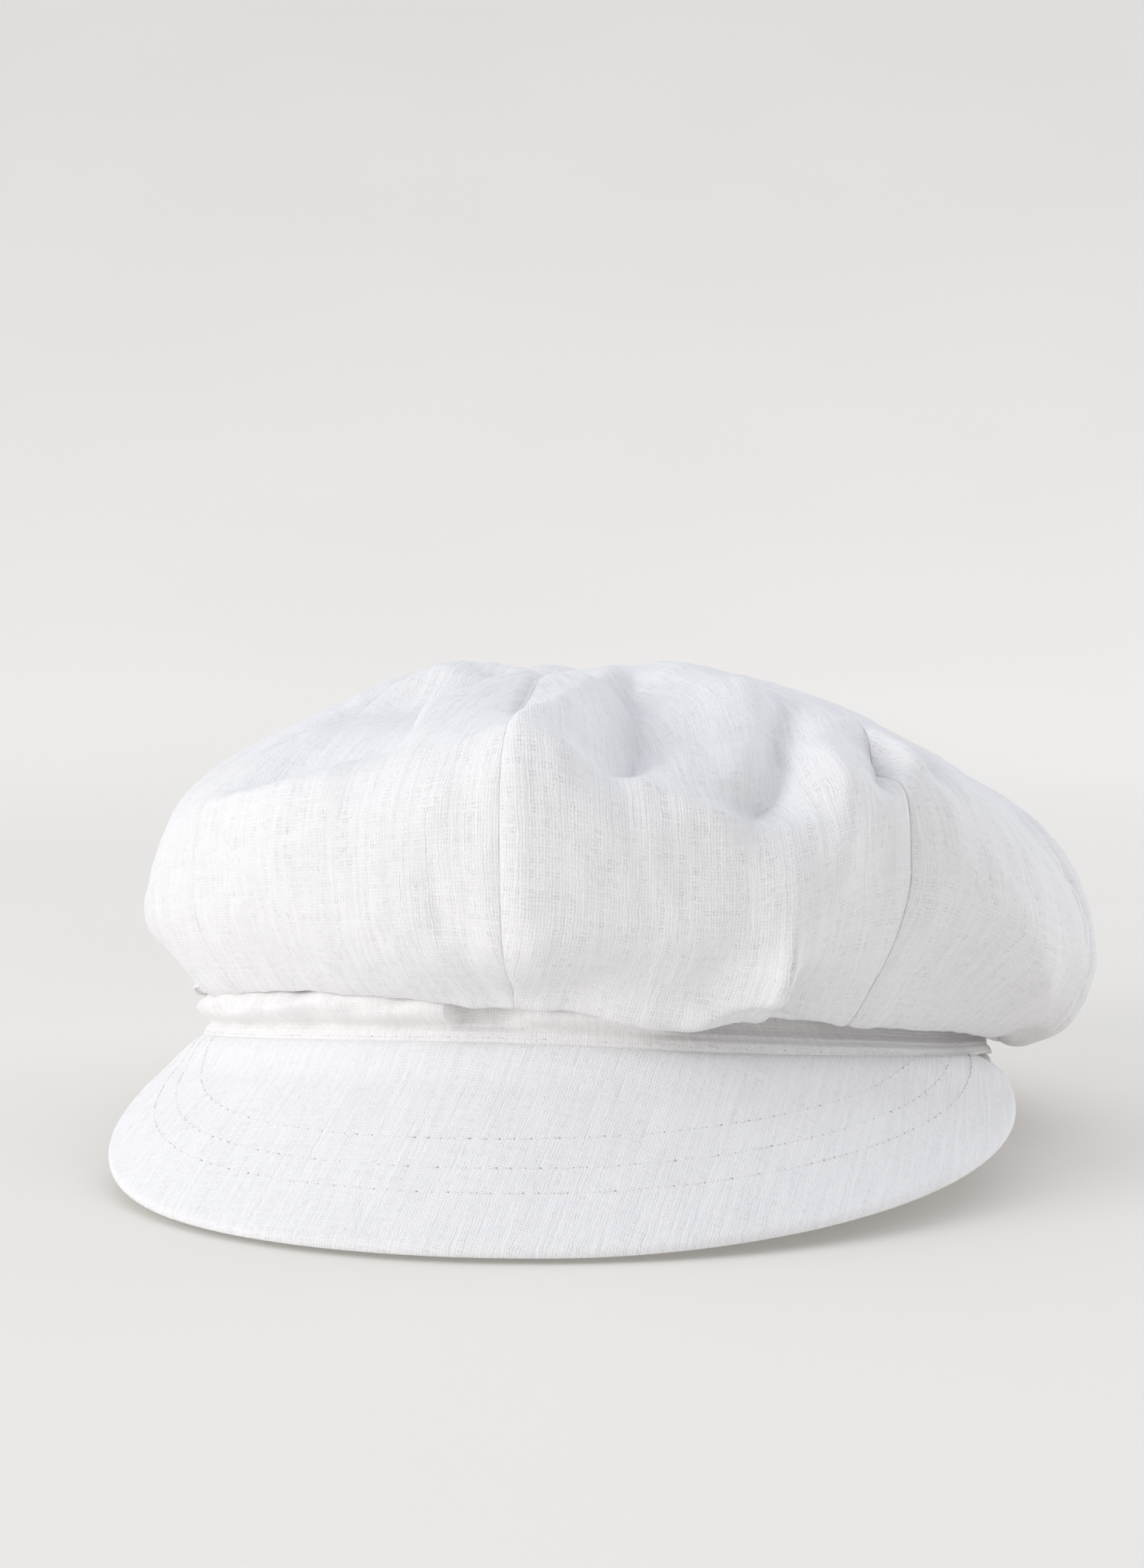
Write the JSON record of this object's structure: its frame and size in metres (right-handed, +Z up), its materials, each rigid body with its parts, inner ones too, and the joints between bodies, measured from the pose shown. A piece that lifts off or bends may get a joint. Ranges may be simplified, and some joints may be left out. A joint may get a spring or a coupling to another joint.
{
  "type": "newsboy cap",
  "caption": "Soft panelled newsboy cap with a puffed crown, narrow band, stiff crescent peak and covered top button, in white slub linen.",
  "frame": {"origin": "on the table, below the middle of the cap's box", "axes": "+Z up from the table, the peak points to -Y, +X is on the right of someone who looks at the front"},
  "size_m": [0.2166, 0.2438, 0.1072],
  "materials": {
    "crown_linen": "matt plain-weave slub linen, bleached white",
    "band_linen": "matt plain-weave linen, folded double, puckered along the crown seam",
    "peak_linen": "matt plain-weave slub linen stretched over a stiff board, with rows of topstitching",
    "button_linen": "matt linen stretched over a small dome"
  },
  "bodies": {
    "root": {"crown_panel_front_right": "crown_linen", "crown_panel_right_front": "crown_linen", "crown_panel_right_back": "crown_linen", "crown_panel_back_right": "crown_linen", "crown_panel_back_left": "crown_linen", "crown_panel_left_back": "crown_linen", "crown_panel_left_front": "crown_linen", "crown_panel_front_left": "crown_linen", "band": "band_linen", "peak": "peak_linen", "crown_button": "button_linen"}
  },
  "joints": []
}
